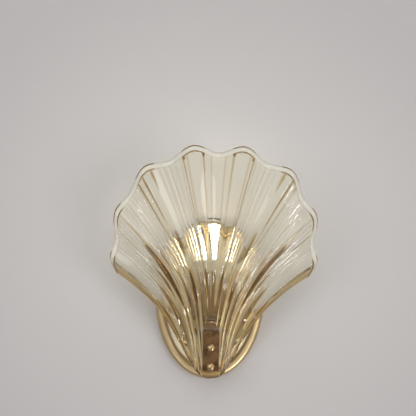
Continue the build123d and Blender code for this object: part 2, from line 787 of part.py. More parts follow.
lead_start_x = 1.15 * lug_radius
low_lead_depth = bar_sheet + lug_sheet + lead_radius
high_lead_depth = panel_back_depth - lug_sheet - lead_radius
earth_points = [
    (lead_start_x, -low_lead_depth, earth_screw_z),
    (earth_lead_bow, -low_lead_depth, earth_screw_z),
    (earth_lead_bow, -high_lead_depth, plate_screw_top_z),
    (lead_start_x, -high_lead_depth, plate_screw_top_z),
]
save("earth_lead", tube_along(earth_points, [earth_lead_bend, earth_lead_bend], lead_radius))
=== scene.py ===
"""Dresses the shell wall sconce: fluted champagne glass, aged brass and a lit plug-in lamp.

Metres, in the CAD frame: the wall is the plane Y = 0, the front faces -Y and Z
is up. Sizes in the shell's class are millimetres, as on a maker's drawing.
"""

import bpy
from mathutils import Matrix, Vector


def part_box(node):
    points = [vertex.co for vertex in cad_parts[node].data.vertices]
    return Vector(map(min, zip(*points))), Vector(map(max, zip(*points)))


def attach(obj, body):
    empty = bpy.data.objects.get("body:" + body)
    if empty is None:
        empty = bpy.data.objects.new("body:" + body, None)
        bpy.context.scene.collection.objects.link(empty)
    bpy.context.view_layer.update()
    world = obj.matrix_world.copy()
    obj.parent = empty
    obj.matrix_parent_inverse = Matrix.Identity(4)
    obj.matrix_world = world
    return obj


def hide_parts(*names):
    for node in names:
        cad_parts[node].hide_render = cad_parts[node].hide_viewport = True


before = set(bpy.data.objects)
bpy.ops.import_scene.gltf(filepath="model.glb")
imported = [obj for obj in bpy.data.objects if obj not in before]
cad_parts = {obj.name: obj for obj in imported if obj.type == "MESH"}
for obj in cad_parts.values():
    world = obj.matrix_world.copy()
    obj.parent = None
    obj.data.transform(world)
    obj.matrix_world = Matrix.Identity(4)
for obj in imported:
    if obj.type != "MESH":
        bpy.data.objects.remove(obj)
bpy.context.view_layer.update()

import logging
from dataclasses import dataclass
from enum import Enum
from functools import cached_property
from math import cos, pi, radians, sin, sqrt
from typing import Optional, Sequence, Union

import bpy
import numpy as np
from mathutils import Euler, Vector

log = logging.getLogger("sconce")

MM = 0.001
Colour = tuple[float, float, float]
Span = tuple[float, float]
Sized = Union[float, "Channel"]
Grid = np.ndarray
Node = bpy.types.Node
Piece = bpy.types.Object
Socket = bpy.types.NodeSocket


# ---- node maths
class Channel:
    """A number that a material works out at each point of a surface."""

    def __init__(self, recipe: "Recipe", socket: Socket) -> None:
        """Keeps the recipe and the socket that gives the number."""
        self.recipe = recipe
        self.socket = socket

    def __add__(self, other: Sized) -> "Channel":
        """This plus another."""
        return self.recipe.maths("ADD", self, other)

    __radd__ = __add__

    def __mul__(self, other: Sized) -> "Channel":
        """This times another."""
        return self.recipe.maths("MULTIPLY", self, other)

    def __sub__(self, other: Sized) -> "Channel":
        """This minus another."""
        return self.recipe.maths("SUBTRACT", self, other)

    def __rsub__(self, other: Sized) -> "Channel":
        """Another minus this."""
        return self.recipe.maths("SUBTRACT", other, self)

    def wave(self) -> "Channel":
        """Sine."""
        return self.recipe.maths("SINE", self, 0.0)

    def between(self, low: float, high: float) -> "Channel":
        """Smooth step, 0 below the low value and 1 above the high one."""
        inputs = {"Value": self, "From Min": low, "From Max": high}
        return self.recipe.channel("Result", "MapRange", inputs, interpolation_type="SMOOTHSTEP")


class Recipe:
    """One material, or the world, and the nodes that make it."""

    def __init__(self, owner: Union[bpy.types.Material, bpy.types.World]) -> None:
        """Starts an empty recipe for a material or a world."""
        self.owner = owner
        owner.use_nodes = True
        self.tree = owner.node_tree
        self.tree.nodes.clear()

    @cached_property
    def place(self) -> Socket:
        """Place in the object's own space, where patterns sit."""
        return self.node("TexCoord").outputs["Object"]

    def node(self, kind: str, inputs: Optional[dict] = None, **settings: object) -> Node:
        """Adds a node.

        Args:
            kind: Blender's name of the node's type, after ShaderNode.
            inputs: Values, channels or sockets for its inputs, by name or number.
            settings: Properties to set first.

        Returns:
            The node.
        """
        node = self.tree.nodes.new(f"ShaderNode{kind}")
        for name, value in settings.items():
            setattr(node, name, value)
        for key, value in (inputs or {}).items():
            if isinstance(value, Channel):
                value = value.socket
            if isinstance(value, Socket):
                self.tree.links.new(value, node.inputs[key])
            elif isinstance(value, tuple) and len(value) == 3 and node.inputs[key].type == "RGBA":
                node.inputs[key].default_value = (*value, 1.0)
            else:
                node.inputs[key].default_value = value
        return node

    def channel(
        self, output: Union[str, int], kind: str, inputs: Optional[dict] = None, **settings: object
    ) -> Channel:
        """Adds a node and gives the number at one of its outputs."""
        return Channel(self, self.node(kind, inputs, **settings).outputs[output])

    def maths(self, operation: str, first: Sized, second: Sized) -> Channel:
        """Result of a Math node."""
        return self.channel(0, "Math", {0: first, 1: second}, operation=operation)

    def noise(
        self, scale: float, detail: float, stretch: Sequence[float] = (1, 1, 1), roughness: float = 0.5
    ) -> Channel:
        """Cloudy pattern around 0.5, with so many features per metre; a small stretch draws an axis out."""
        place = self.node("VectorMath", {0: self.place, 1: tuple(stretch)}, operation="MULTIPLY").outputs[0]
        inputs = {"Vector": place, "Scale": scale, "Detail": detail, "Roughness": roughness}
        return self.channel(0, "TexNoise", inputs)

    def cells(self, scale: float) -> Channel:
        """Distance to scattered points, for pits and specks."""
        return self.channel("Distance", "TexVoronoi", {"Vector": self.place, "Scale": scale})

    def painted(self, name: str) -> Channel:
        """Number that the piece's own mesh carries at each point."""
        return self.channel("Fac", "Attribute", attribute_name=name)

    def axes(self) -> tuple[Channel, ...]:
        """The object's X, Y and Z as three channels."""
        return tuple(Channel(self, part) for part in self.node("SeparateXYZ", {0: self.place}).outputs)

    def blend(self, share: Sized, low: object, high: object) -> Socket:
        """Mix of two colours or colour sockets, the first where the share is 0."""
        inputs = {0: share, 6: low, 7: high}
        return self.node("Mix", inputs, data_type="RGBA", clamp_factor=True).outputs[2]

    def relief(self, height: Channel, depth: float, strength: float) -> Socket:
        """Normal of a skin whose height of 0 to 1 is so many metres deep, at a share of its strength."""
        inputs = {"Height": height, "Distance": depth, "Strength": strength}
        return self.node("Bump", inputs).outputs[0]

    def principled(self, inputs: dict) -> Node:
        """Adds a Principled shader."""
        return self.node("BsdfPrincipled", inputs)

    def mix(self, share: Sized, first: Node, second: Node) -> Node:
        """Mix of two shaders, the first where the share is 0."""
        return self.node("MixShader", {0: share, 1: first.outputs[0], 2: second.outputs[0]})

    def finish(self, shader: Node, volume: Optional[Node] = None) -> bpy.types.ID:
        """Links the shader to the output and returns the material or world."""
        kind = "OutputWorld" if isinstance(self.owner, bpy.types.World) else "OutputMaterial"
        inputs = {"Surface": shader.outputs[0]}
        if volume:
            inputs["Volume"] = volume.outputs[0]
        self.node(kind, inputs)
        return self.owner


# ---- finishes
class Grain(Enum):
    """Direction in which a metal was brushed or turned."""

    UPRIGHT = (1.0, 1.0, 0.05)
    ACROSS = (0.05, 1.0, 1.0)
    TURNED = (0.05, 0.05, 1.0)
    CAST = (1.0, 1.0, 1.0)


@dataclass(frozen=True)
class Finish:
    """The look of a surface, under the name that its material gets."""

    name: str

    def surface(self, recipe: Recipe) -> Node:
        """Shader of the surface."""
        raise NotImplementedError

    def body(self, recipe: Recipe) -> Optional[Node]:
        """Shader of what is inside, where light goes through."""
        return None

    def material(self) -> bpy.types.Material:
        """Makes the material."""
        recipe = Recipe(bpy.data.materials.new(self.name))
        return recipe.finish(self.surface(recipe), self.body(recipe))


@dataclass(frozen=True)
class Metal(Finish):
    """Worked metal with brushing, tarnish in patches, handling marks and fine pits."""

    colour: Colour
    tarnish: Colour
    roughness: float
    grain: Grain = Grain.CAST
    tarnish_share: float = 0.45
    patch_scale: float = 38.0
    mark_scale: float = 150.0
    pit_scale: float = 900.0
    grain_scale: float = 2600.0
    grain_depth: float = 0.00002

    def base(self, recipe: Recipe) -> object:
        """Colour of the untarnished metal."""
        return self.colour

    def surface(self, recipe: Recipe) -> Node:
        """Shader of the metal."""
        patches = recipe.noise(self.patch_scale, 5.0, roughness=0.62)
        marks = recipe.noise(self.mark_scale, 4.0, roughness=0.7).between(0.52, 0.72)
        lines = recipe.noise(self.grain_scale, 2.0, self.grain.value, 0.6)
        pits = recipe.cells(self.pit_scale).between(0.02, 0.16)
        aged = patches.between(0.42, 0.68) * self.tarnish_share + (1.0 - pits) * 0.35
        colour = recipe.blend(aged, self.base(recipe), self.tarnish)
        paler = tuple(min(1.0, part * 1.12 + 0.02) for part in self.colour)
        rough = patches * 0.14 + marks * 0.12 + lines * 0.12 + (self.roughness - 0.16)
        return recipe.principled({
            "Base Color": recipe.blend((lines - 0.35) * 0.5, colour, paler),
            "Metallic": 1.0,
            "Roughness": rough,
            "Normal": recipe.relief(lines * 0.7 + pits * 0.3, self.grain_depth, 0.6),
        })


@dataclass(frozen=True)
class RingedMetal(Metal):
    """Metal of an oval plate whose field inside the ring is painted paler, a painted sheen for the light that
    its flat face reflects.
    """

    painted_sheen_colour: Colour = (0.86, 0.79, 0.62)
    ring: Span = (0.68, 0.76)

    def base(self, recipe: Recipe) -> object:
        """Colour of the ring, with the field painted paler as a painted sheen."""
        half_width, _, half_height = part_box("backplate")[1]
        across, _, up = recipe.axes()
        across, up = across * (1 / half_width), up * (1 / half_height)
        return recipe.blend((across * across + up * up).between(*self.ring), self.painted_sheen_colour, self.colour)


@dataclass(frozen=True)
class Moulded(Finish):
    """Plastic, rubber, enamel or fired clay, with specks, rubbed patches and a fine skin."""

    colour: Colour
    shade: Colour
    roughness: float
    coat: float = 0.0
    cloud_scale: float = 60.0
    speck_scale: float = 700.0
    skin_scale: float = 1900.0
    skin_depth: float = 0.00004

    def surface(self, recipe: Recipe) -> Node:
        """Shader of the moulded material."""
        clouds = recipe.noise(self.cloud_scale, 4.0)
        specks = recipe.cells(self.speck_scale).between(0.03, 0.22)
        skin = recipe.noise(self.skin_scale, 3.0, roughness=0.6)
        worn = clouds.between(0.35, 0.75) * 0.6 + (1.0 - specks) * 0.3
        return recipe.principled({
            "Base Color": recipe.blend(worn, self.colour, self.shade),
            "Roughness": self.roughness - 0.08 + clouds * 0.16,
            "Coat Weight": self.coat,
            "Normal": recipe.relief(skin * 0.6 + specks * 0.4, self.skin_depth, 0.5),
        })


@dataclass(frozen=True)
class ShellGlass(Finish):
    """Thick champagne glass: faint cast skin, a ground rim, and painted amber and dark shade where the real
    glass shows shade by refraction.
    """

    tint: Colour = (1.0, 0.998, 0.975)
    dusty: Colour = (0.97, 0.96, 0.92)
    ground: Colour = (0.90, 0.87, 0.76)
    # Colour of a painted dark outline on the ground rim of the lobes.
    painted_outline_colour: Colour = (0.27, 0.125, 0.02)
    ground_share: float = 0.66
    # Colours of painted shade in the glass: amber first, then dark brown.
    painted_shade_amber: Colour = (0.62, 0.42, 0.15)
    deep: Colour = (0.085, 0.026, 0.001)
    depth_tone: Colour = (0.96, 0.93, 0.63)
    density: float = 45.0
    clearness: float = 0.94
    index: float = 1.5
    skin_depth: float = 0.0006

    def surface(self, recipe: Recipe) -> Node:
        """Shader of the glass, clear over most of it and frosted on the ground rim."""
        # The mesh carries a painted shade for the glass, and the band of its ground rim.
        tone, rim = recipe.painted("tone"), recipe.painted("rim")
        breath = recipe.noise(26.0, 3.0)
        smears = recipe.noise(70.0, 4.0, (1.0, 1.0, 0.3)).between(0.5, 0.8)
        ripple = recipe.noise(85.0, 2.0, (1.0, 0.6, 0.22), 0.4)
        seeds = recipe.cells(170.0).between(0.0, 0.055)
        colour = recipe.blend(smears * 0.5 + breath * 0.3, self.tint, self.dusty)
        # Painted shade: the glass turns amber and then dark brown where it is painted, for the shade and dark
        # images that real glass shows by refraction.
        colour = recipe.blend(tone.between(0.0, 0.55), colour, self.painted_shade_amber)
        clear = recipe.principled({
            "Base Color": recipe.blend(tone.between(0.45, 1.0), colour, self.deep),
            "Roughness": smears * 0.05 + breath * 0.03 + rim * 0.30 + 0.004,
            "IOR": self.index,
            "Transmission Weight": self.clearness,
            "Normal": recipe.relief(ripple * 0.85 + seeds * 0.15, self.skin_depth, 0.28),
        })
        # The ground rim takes a painted dark outline where the painted shade is strong.
        frosted = recipe.principled({
            "Base Color": recipe.blend(tone.between(0.15, 0.85), self.ground, self.painted_outline_colour),
            "Roughness": 0.38 + smears * 0.15,
        })
        return recipe.mix(rim * self.ground_share, clear, frosted)

    def body(self, recipe: Recipe) -> Optional[Node]:
        """Shader of the glass's mass, which deepens with its thickness."""
        return recipe.node("VolumeAbsorption", {"Color": self.depth_tone, "Density": self.density})


@dataclass(frozen=True)
class ClearCover(Finish):
    """Thin clear plastic that lets lamps through, with a soft gloss at its edges."""

    tint: Colour = (0.965, 0.955, 0.935)
    gloss: Colour = (0.95, 0.95, 0.95)
    gloss_roughness: float = 0.12
    index: float = 1.25

    def surface(self, recipe: Recipe) -> Node:
        """Shader of the cover."""
        haze = recipe.noise(120.0, 3.0).between(0.45, 0.8)
        through = recipe.node("BsdfTransparent", {"Color": self.tint})
        skin = recipe.node("BsdfGlossy", {"Color": self.gloss, "Roughness": self.gloss_roughness})
        edge = recipe.channel(0, "Fresnel", {"IOR": self.index})
        return recipe.mix(edge + haze * 0.04, through, skin)


@dataclass(frozen=True)
class LitChip(Finish):
    """Small lit chips: a warm phosphor square, dimmer at its edge."""

    colour: Colour = (1.0, 0.95, 0.84)
    edge: Colour = (1.0, 0.88, 0.66)
    phosphor: Colour = (0.9, 0.8, 0.5)
    phosphor_edge: Colour = (0.78, 0.62, 0.25)
    strength: float = 26.0

    def surface(self, recipe: Recipe) -> Node:
        """Shader of the chips."""
        grains = recipe.cells(2400.0).between(0.05, 0.4)
        return recipe.principled({
            "Base Color": recipe.blend(grains, self.phosphor_edge, self.phosphor),
            "Roughness": 0.35 + grains * 0.2,
            "Emission Color": recipe.blend(grains, self.edge, self.colour),
            "Emission Strength": self.strength,
        })


@dataclass(frozen=True)
class LampBoard(Finish):
    """White lamp board with faint copper tracks between the rows of chips."""

    lacquer: Colour = (0.80, 0.78, 0.72)
    track: Colour = (0.52, 0.42, 0.26)
    row_spacing: float = 0.00475
    track_depth: float = 0.00003

    def surface(self, recipe: Recipe) -> Node:
        """Shader of the board."""
        _, _, up = recipe.axes()
        rows = (up * (2.0 * pi / self.row_spacing)).wave().between(0.86, 0.98)
        mottle = recipe.noise(260.0, 3.0)
        return recipe.principled({
            "Base Color": recipe.blend(rows * 0.7 + mottle * 0.12, self.lacquer, self.track),
            "Roughness": 0.32 + mottle * 0.2,
            "Normal": recipe.relief(rows, self.track_depth, 0.5),
        })


@dataclass(frozen=True)
class WallPaint(Finish):
    """Matt paint with a roller's orange peel, open from behind, and with a painted pool of light: paler in
    the middle and darker away from it.

    It can have an oval opening, so that the back of the sconce shows, and can look paler than it is lit.
    """

    colour: Colour
    shade: Colour
    painted_glow_inner_radius: float = 0.12
    painted_glow_outer_radius: float = 0.34
    opening: Optional[Span] = None
    opening_drop: float = 0.05
    paleness: float = 0.0
    peel_depth: float = 0.0002

    def surface(self, recipe: Recipe) -> Node:
        """Shader of the paint."""
        clouds = recipe.noise(1.6, 3.0)
        peel = recipe.noise(420.0, 3.0, roughness=0.55)
        across, up, _ = recipe.axes()
        # Painted light: paler near the middle, as if lit by the sconce, and darker away from it.
        away = (across * across + up * up).between(self.painted_glow_inner_radius**2, self.painted_glow_outer_radius**2)
        paint = recipe.principled({
            "Base Color": recipe.blend(away * 0.85 + clouds * 0.15, self.colour, self.shade),
            "Roughness": 0.82 + peel * 0.1,
            "Normal": recipe.relief(peel, self.peel_depth, 0.25),
        })
        clear = recipe.channel("Backfacing", "NewGeometry")
        if self.opening:
            across, up = across * (1 / self.opening[0]), (up + self.opening_drop) * (1 / self.opening[1])
            clear = clear + (1.0 - (across * across + up * up).between(0.98, 1.0))
        if self.paleness:
            looked_at = recipe.channel("Is Camera Ray", "LightPath")
            glow = recipe.node("Emission", {"Color": self.colour})
            paint = recipe.mix(looked_at * self.paleness, paint, glow)
        return recipe.mix(clear, paint, recipe.node("BsdfTransparent"))


# ---- modelling
def nothing_selected() -> None:
    """Leaves edit mode and deselects every object."""
    if bpy.context.object and bpy.context.object.mode != "OBJECT":
        bpy.ops.object.mode_set(mode="OBJECT")
    bpy.ops.object.select_all(action="DESELECT")


def take_up(piece: Piece) -> Piece:
    """Makes a piece the only selected and active object, and returns it."""
    nothing_selected()
    piece.select_set(True)
    bpy.context.view_layer.objects.active = piece
    return piece


def settle(piece: Piece, name: str, finish: Finish, smooth: float) -> Piece:
    """Names a finished piece, puts its place into its mesh, shades it and gives it its material.

    Args:
        piece: The object.
        name: Its name in the scene.
        finish: Its finish.
        smooth: Largest angle between faces that is shaded smooth, in degrees.

    Returns:
        The piece.
    """
    take_up(piece)
    piece.name = piece.data.name = name
    bpy.ops.object.transform_apply(location=True, rotation=True, scale=True)
    bpy.ops.object.shade_smooth_by_angle(angle=radians(smooth))
    piece.data.materials.clear()
    piece.data.materials.append(finish.material())
    return piece


def finish_with(piece: Piece, kind: str, **settings: object) -> None:
    """Adds a modifier to a piece and applies it.

    Args:
        piece: The object to work on.
        kind: Blender's name of the modifier.
        settings: The modifier's properties.
    """
    take_up(piece)
    modifier = piece.modifiers.new(kind.title(), kind)
    for name, value in settings.items():
        setattr(modifier, name, value)
    bpy.ops.object.modifier_apply(modifier=modifier.name)


def rod(radius: float, length: float, depth: float, z: float, corners: int) -> Piece:
    """Round rod that points at the viewer, with its middle on the midline, at a depth and a height."""
    nothing_selected()
    place, turn = (0, -depth, z), (pi / 2, 0, 0)
    bpy.ops.mesh.primitive_cylinder_add(
        vertices=corners, radius=radius, depth=length, location=place, rotation=turn
    )
    return bpy.context.object


def drill(piece: Piece, cutters: Sequence[Piece]) -> None:
    """Cuts holes in a piece and removes the cutters."""
    for cutter in cutters:
        finish_with(piece, "BOOLEAN", operation="DIFFERENCE", solver="EXACT", object=cutter)
        bpy.data.objects.remove(cutter)


# ---- glass shell
def ease(share: Grid) -> Grid:
    """Smooth step from 0 to 1."""
    share = np.clip(share, 0.0, 1.0)
    return share * share * (3 - 2 * share)


def ramp(values: Grid, over: Span) -> Grid:
    """Smooth step that starts at one value and takes a length."""
    return ease((values - over[0]) / over[1])


def part_way(share: Grid, ends: Span) -> Grid:
    """Value that is a share of the way from one to another."""
    return ends[0] + (ends[1] - ends[0]) * share


def ridges(values: Grid, middles: Sequence[float], half_width: float) -> Grid:
    """1 where a value is one of the middles, fading to 0 beside them."""
    return np.max([np.exp(-(((values - middle) / half_width) ** 2)) for middle in middles], axis=0)


@dataclass(frozen=True)
class PaintedStreak:
    """Wedge of painted shade along a rib, a dark streak that the glass shows by refraction: its angle from
    upright and its ends, as shares of the rib's travel.

    A side of -1 or 1 keeps it to the left or the right.
    """

    angle: float
    low: float
    widest: float
    high: float
    half_angle: float
    strength: float
    side: int = 0
    least_soft_edge: float = 0.25
    soft_edge_share: float = 0.3
    end_sharpness: float = 6.0

    def tone(self, angle: Grid, travel: Grid) -> Grid:
        """Its painted shade at points of the glass.

        Args:
            angle: Angle of the rib from upright, in degrees, negative on the left.
            travel: Share of the rib's travel.

        Returns:
            The painted shade, 0 to 1.
        """
        soft_edge = self.least_soft_edge + self.soft_edge_share * self.half_angle
        off = np.abs(angle * self.side - self.angle) if self.side else np.abs(np.abs(angle) - self.angle)
        rising = (travel - self.low) / (self.widest - self.low)
        falling = (self.high - travel) / (self.high - self.widest)
        wedge = np.clip(np.minimum(rising, falling), 0.0, 1.0)
        edge = np.clip((self.half_angle * np.sqrt(wedge) - off) / soft_edge + 0.5, 0.0, 1.0)
        return self.strength * edge * np.clip(self.end_sharpness * wedge, 0.0, 1.0)


@dataclass
class GlassShell:
    """Fan of eight fluted lobes on a narrow root, as one closed piece of glass; sizes in millimetres.

    A point of it is named by u, its share of the fan's half width (-1 to 1), v, a parameter that runs up
    the ribs (0 at the root, 1 at the rim), and its share of the thickness behind the front face.
    """

    thickness: float = 6.5
    bottom_z: float = -82.0
    root_half_width: float = 24.0
    root_bunching: float = 0.47
    root_end_height: float = 20.0
    root_end_power: float = 2.8
    root_end_fade: float = 2.5
    fan_centre_z: float = 45.0
    rim_mean_radius: float = 114.8
    rim_tall: float = 4.7
    rim_square: float = 3.0
    rim_edge_angle: float = 96.0
    corner_angle: float = 88.0
    corner_drop: float = 5.0
    half_lobe: float = 13.0
    lobe_reaches: Span = (4.6, 2.2)
    lobe_depths: Span = (0.5, 3.8)
    lobe_power: float = 1.3
    back_lobes: Span = (0.3, 0.5)
    neck_depth: float = 46.0
    rise_depth: float = 54.0
    flare_depth: float = 6.0
    flare_start: float = 0.8
    early_rise: float = 0.62
    early_rise_pace: float = 4.2
    rise_softness: float = 0.05
    fan_blend: float = 0.35
    side_falls: Span = (16.0, 44.0)
    roundnesses: Span = (2.2, 1.9)
    return_depth: float = 5.0
    return_start: float = 0.84
    root_spread_angle: float = 23.0
    rim_spread_angle: float = 60.0
    rim_spread_turn: float = 0.72
    straight_spread: float = 0.4
    start_pull: float = 1.3
    end_pull: float = 1.6
    strap_top_z: float = -30.5
    seat_half_width: float = 9.7
    seat_above_strap: float = 5.0
    seat_blend: float = 0.12
    seat_side_blend: float = 4.0
    flute_margin: float = 2.2
    hole_radius: float = 4.0
    hole_heights: Span = (-69.0, -48.5)
    hole_corners: int = 64
    # Flutes and creases, by angle from upright
    crease_angles: tuple[float, ...] = (18.5, 41.5, 45.0, 64.0, 89.5)
    crease_depth: float = 1.2
    crease_half_angle: float = 0.6
    step_depth: float = 1.2
    thin_crease_angles: tuple[float, ...] = (3.9, 8.0, 16.4)
    thin_crease_depth: float = 0.12
    thin_crease_ramp: Span = (0.55, 0.15)
    thin_crease_half_angle: float = 0.5
    flute_zones: tuple[tuple[float, float, int], ...] = ((20.0, 32.0, 4), (46.0, 61.0, 6), (66.0, 82.0, 6))
    flute_depth: float = 1.2
    uncrowded_half_width: float = 105.0
    most_crowded: float = 0.1
    crowding_power: float = 0.35
    neck_rib_angles: tuple[float, ...] = (18.5, 30.5, 43.0, 54.0, 64.0, 77.0, 89.5)
    neck_rib_depth: float = 1.5
    neck_rib_half_angle: float = 2.4
    neck_rib_painted_shade: float = 0.8
    neck_ramp: Span = (0.34, 0.24)
    lip_depth: float = 1.1
    lip_from_rim: float = 5.4
    lip_half_width: float = 0.7
    # Painted shade, for the shade and dark images that the glass shows by refraction: leaf-shaped dark
    # streaks, thin dark lines in the flutes, dark outlines of the lobes
    painted_streaks: tuple[PaintedStreak, ...] = (
        PaintedStreak(64.2, 0.36, 0.58, 0.80, 3.0, 1.0),
        PaintedStreak(70.5, 0.44, 0.56, 0.66, 1.2, 0.85),
        PaintedStreak(57.5, 0.56, 0.63, 0.72, 0.8, 0.8),
        PaintedStreak(63.6, 0.60, 0.80, 0.93, 0.6, 0.6),
        PaintedStreak(41.5, 0.70, 0.93, 1.02, 0.55, 0.8),
        PaintedStreak(45.0, 0.66, 0.93, 1.02, 0.60, 0.75, side=-1),
        PaintedStreak(45.0, 0.93, 0.96, 0.99, 0.60, 0.6, side=1),
        PaintedStreak(8.0, 0.68, 0.96, 1.02, 0.45, 0.5),
        PaintedStreak(18.6, 0.66, 0.96, 1.02, 0.45, 0.5),
        PaintedStreak(8.0, 0.950, 0.966, 0.980, 0.75, 0.95),
        PaintedStreak(18.2, 0.950, 0.962, 0.975, 0.75, 0.9),
        PaintedStreak(16.4, 0.75, 0.90, 1.02, 0.35, 0.3),
        PaintedStreak(36.2, 0.88, 0.95, 1.02, 0.6, 0.7),
        PaintedStreak(39.0, 0.34, 0.42, 0.52, 2.6, 0.95),
        PaintedStreak(38.0, 0.56, 0.62, 0.70, 1.3, 0.7),
        PaintedStreak(16.5, 0.34, 0.42, 0.50, 2.4, 0.85),
        PaintedStreak(11.5, 0.58, 0.62, 0.67, 0.9, 0.6),
        PaintedStreak(79.0, 0.30, 0.42, 0.62, 2.2, 0.8),
        PaintedStreak(52.5, 0.32, 0.44, 0.56, 1.6, 0.75),
        PaintedStreak(90.0, 0.20, 0.40, 0.60, 1.6, 0.8),
    )
    flute_line_painted_shade: float = 0.30
    crease_line: float = 0.7
    neck_rib_line: float = 1.92
    side_ramp: Span = (87.0, 7.0)
    side_painted_shade: float = 0.55
    neck_painted_shade: float = 0.30
    seat_painted_shade: float = 0.38
    seat_fade: float = 3.0
    seat_ramp: Span = (0.36, 0.2)
    outline_painted_shade: float = 0.95
    outline_shares: Span = (0.18, 0.72)
    outline_blend: float = 0.12
    outline_ramp: Span = (-0.1, 0.5)
    inner_line_ramp: Span = (0.1, 0.4)
    back_share: float = 0.6
    back_painted_shade: float = 0.4
    ground_share: float = 0.95
    painted_root_bands: tuple[tuple[float, float, float], ...] = ((0.0, 3.0, 0.85), (7.6, 1.7, 0.6))
    rim_round: float = 5.0
    edge_round: float = 3.25
    # Fineness of the mesh
    rows: int = 84
    rows_end: float = 0.973
    rim_rows_at: tuple[float, ...] = (0.98, 0.986, 0.990, 0.993, 0.995, 0.9965, 0.998, 0.999, 1.0)
    columns: int = 168
    crease_columns: int = 13
    crease_margin: float = 1.1
    least_column: float = 0.11
    edge_rows: int = 10

    def lobe_wave(self, angle: Grid) -> Grid:
        """-1 in the valleys between the lobes and +1 on their crests."""
        return -np.cos(pi * angle / self.half_lobe)

    def lobe_reach(self, angle: Grid) -> Grid:
        """How far a lobe's crest stands out from the rim's middle line."""
        return part_way(np.abs(angle) / self.rim_edge_angle, self.lobe_reaches)

    def crown_radius(self, angle: Grid) -> Grid:
        """Distance from the fan's centre to the line through the lobes' crests."""
        double = np.radians(2 * angle)
        mean = self.rim_mean_radius + self.rim_tall * np.cos(double) - self.rim_square * np.cos(2 * double)
        return mean + self.lobe_reach(angle)

    @property
    def seat_share(self) -> float:
        """Share of a rib's travel at which the flat seat under the strap ends."""
        top = self.fan_centre_z + float(self.crown_radius(np.array(0.0)))
        return (self.strap_top_z + self.seat_above_strap - self.bottom_z) / (top - self.bottom_z)

    def rib_ends(self, u: Grid) -> tuple[Grid, Grid, Grid]:
        """Root's X, tip's X and tip's Z of the ribs."""
        angle = self.rim_edge_angle * u
        root = self.root_half_width * (self.root_bunching * u + (1 - self.root_bunching) * u * np.abs(u))
        radius = self.crown_radius(angle)
        turn = np.radians(angle)
        return root, radius * np.sin(turn), self.fan_centre_z + radius * np.cos(turn)

    def rib_length(self, u: Grid) -> Grid:
        """Straight distance from a rib's root to its tip."""
        root_x, tip_x, tip_z = self.rib_ends(u)
        return np.hypot(tip_x - root_x, tip_z - self.bottom_z)

    def rib_path(self, u: Grid, v: Grid) -> tuple[Grid, Grid]:
        """X and Z of the ribs.

        Args:
            u: Share of the fan's half width.
            v: Parameter up the ribs.

        Returns:
            X and Z.
        """
        root_x, tip_x, tip_z = self.rib_ends(u)
        length = self.rib_length(u)
        spread = self.straight_spread * u + (1 - self.straight_spread) * u**3
        root_lean = np.radians(self.root_spread_angle * spread)
        turn = np.radians(self.rim_spread_turn * self.rim_edge_angle * u)
        tip_lean = np.radians(self.rim_spread_angle * np.sin(turn))
        to_tip = v * v * (3 - 2 * v)
        start = self.start_pull * length * v * (1 - v) ** 2
        end = -self.end_pull * length * v * v * (1 - v)
        x = part_way(to_tip, (root_x, tip_x)) + start * np.sin(root_lean) + end * np.sin(tip_lean)
        z = part_way(to_tip, (self.bottom_z, tip_z)) + start * np.cos(root_lean) + end * np.cos(tip_lean)
        lift = self.root_end_height * np.abs(root_x / self.root_half_width) ** self.root_end_power
        return x, z + lift * np.exp(-self.root_end_fade * v) * (1 - v) ** 2

    def half_width(self, v: Grid) -> Grid:
        """X of the outermost rib."""
        return self.rib_path(np.ones_like(v), v)[0]

    def rib_travel(self, v: Grid) -> Grid:
        """Share of a rib's whole reach that is covered at v."""
        step = v * v * (3 - 2 * v)
        return step + self.start_pull * v * (1 - v) ** 2 - self.end_pull * v * v * (1 - v)

    def trimmed(self, u: Grid, v: Grid) -> Grid:
        """v, cut back between the lobes and at the rim's two corners."""
        angle = self.rim_edge_angle * u
        corner = (np.abs(angle) - self.corner_angle) / (self.rim_edge_angle - self.corner_angle)
        corner = np.maximum(corner, 0)
        cut = self.lobe_reach(angle) * (1 - self.lobe_wave(angle)) + self.corner_drop * corner**2
        return v - cut / (self.end_pull * self.rib_length(u)) * v**5

    def rise(self, travel: Grid) -> Grid:
        """How far the glass has come forward, for a share of the ribs' travel."""
        share = np.clip((travel - self.seat_share) / (1 - self.seat_share), 0, None)
        soft, pace = self.rise_softness, self.early_rise_pace
        share = (np.sqrt(share * share + soft * soft) - soft) / (sqrt(1 + soft * soft) - soft)
        early = (1 - np.exp(-pace * share)) / (1 - np.exp(-pace))
        return self.early_rise * early + (1 - self.early_rise) * share

    def dish(self, u: Grid, v: Grid) -> Grid:
        """Points of the smooth dish that the lobes are raised on.

        Args:
            u: Share of the fan's half width.
            v: Parameter up the ribs.

        Returns:
            Points with X, Y and Z last.
        """
        x, z = self.rib_path(u, v)
        travel = self.rib_travel(v)
        forward = self.rise(travel)
        half_width = self.half_width(v)
        neck_share = np.maximum(np.abs(x) - self.seat_half_width, 0) / (half_width - self.seat_half_width)
        in_fan = ease((travel - self.seat_share) / self.fan_blend)
        outside = neck_share + (np.abs(u) - neck_share) * in_fan
        roundness = part_way(in_fan, self.roundnesses)
        flare = np.clip((travel - self.flare_start) / (1 - self.flare_start), 0, None)
        depth = self.neck_depth + self.rise_depth * forward + self.flare_depth * flare**2
        depth = depth - part_way(forward, self.side_falls) * outside**roundness
        turned_back = np.clip((np.abs(u) - self.return_start) / (1 - self.return_start), 0, None)
        width_share = half_width / self.half_width(np.ones_like(v))
        depth = depth - self.return_depth * width_share**2 * turned_back**2
        return np.stack([x, -depth, z], axis=-1)

